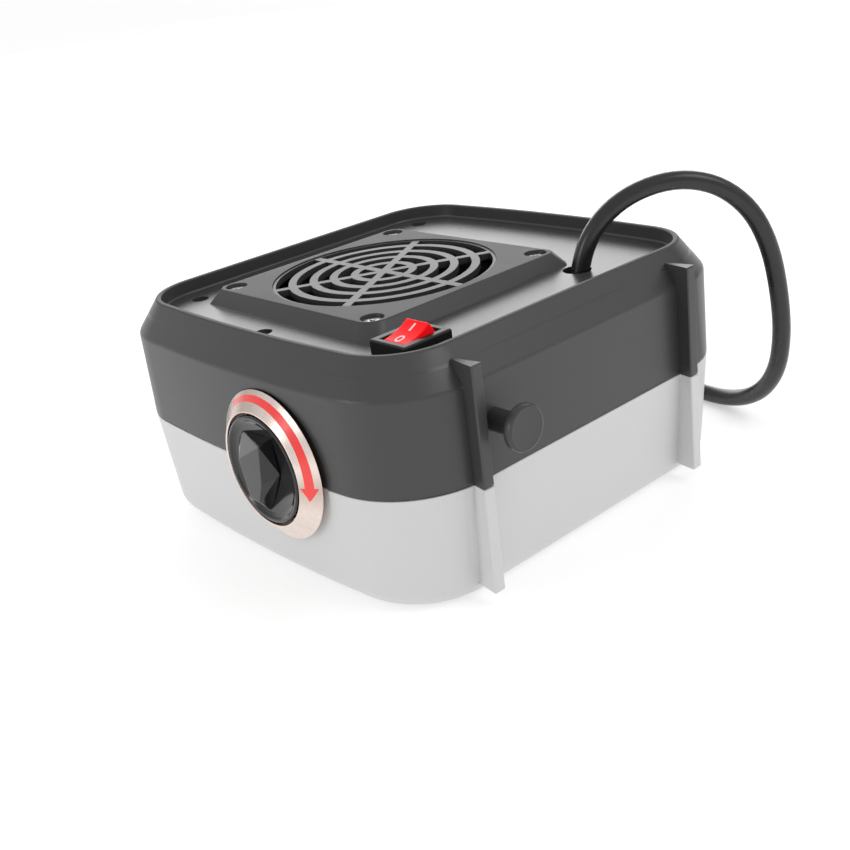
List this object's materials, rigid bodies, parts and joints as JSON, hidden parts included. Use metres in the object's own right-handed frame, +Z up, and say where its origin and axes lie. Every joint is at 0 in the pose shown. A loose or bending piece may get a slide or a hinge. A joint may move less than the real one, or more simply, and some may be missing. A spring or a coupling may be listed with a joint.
{
  "type": "hot plate burner",
  "caption": "Compact electric hot plate resting on its glass face, two-tone case with fan grille, rocker switch, dial knob, side peg and mains lead.",
  "frame": {"origin": "centre of the case on the surface it rests on, at the level of the glass face", "axes": "+Z up through the fan side, -Y towards the control knob, +X towards the side with the cord peg"},
  "size_m": [0.2125, 0.3052, 0.1146],
  "materials": {
    "dark_shell": "satin moulded plastic, dark grey",
    "light_shell": "satin moulded plastic, light grey",
    "grille_plastic": "satin moulded plastic, dark grey",
    "black_gloss": "glossy black plastic",
    "red_gloss": "glossy red plastic with white marks",
    "spun_steel": "spun stainless steel",
    "plate_glass": "opaque black glass-ceramic, polished",
    "seal_rubber": "silicone rubber",
    "insulation": "pressed mineral fibre",
    "heater_metal": "oxidised heating ribbon",
    "aluminium": "plain aluminium",
    "ceramic": "unglazed ceramic",
    "board_green": "solder-masked glass-fibre laminate",
    "screw_steel": "bright zinc-plated steel",
    "fan_plastic": "black glass-filled plastic",
    "cord_rubber": "black PVC sheath",
    "lead_insulation": "PVC lead insulation",
    "component_dark": "black component cases",
    "pin_brass": "plain brass"
  },
  "bodies": {
    "case": {"upper_shell": "dark_shell", "lower_shell": "light_shell", "case_screws": "screw_steel", "glass_plate": "plate_glass", "plate_seal": "seal_rubber", "insulation_pan": "insulation", "heating_element": "heater_metal", "heat_limiter": "ceramic", "heat_shield": "aluminium", "shield_posts": "ceramic", "board_standoffs": "ceramic", "circuit_board": "board_green", "board_screws": "screw_steel", "heat_sink": "aluminium", "power_parts": "component_dark", "fan_frame": "fan_plastic", "fan_grille": "grille_plastic", "fan_screws": "screw_steel", "dial_plate": "spun_steel", "power_control": "component_dark", "control_bracket": "aluminium", "control_nut": "screw_steel", "switch_body": "black_gloss", "switch_tabs": "pin_brass", "cord_peg": "black_gloss", "peg_screw": "screw_steel", "cord_clamp": "fan_plastic", "inner_leads": "lead_insulation", "power_cord": "cord_rubber", "cord_coil": "cord_rubber", "plug_body": "cord_rubber", "plug_pins": "pin_brass"},
    "fan": {"fan_rotor": "fan_plastic"},
    "rocker": {"switch_rocker": "red_gloss"},
    "knob": {"control_knob": "black_gloss", "control_shaft": "aluminium"}
  },
  "joints": [
    {"name": "fan_spin", "type": "hinge", "parent": "case", "child": "fan", "pos_m": [-0.0062, -0.0091, 0.07], "axis": [0, 0, 1], "continuous": true},
    {"name": "rocker_tilt", "type": "hinge", "parent": "case", "child": "rocker", "pos_m": [0.059, -0.0546, 0.085], "axis": [-1, 0, 0], "range_deg": [0, 40]},
    {"name": "knob_turn", "type": "hinge", "parent": "case", "child": "knob", "pos_m": [0.0212, -0.091, 0.046], "axis": [0, 1, 0], "range_deg": [0, 270]}
  ]
}
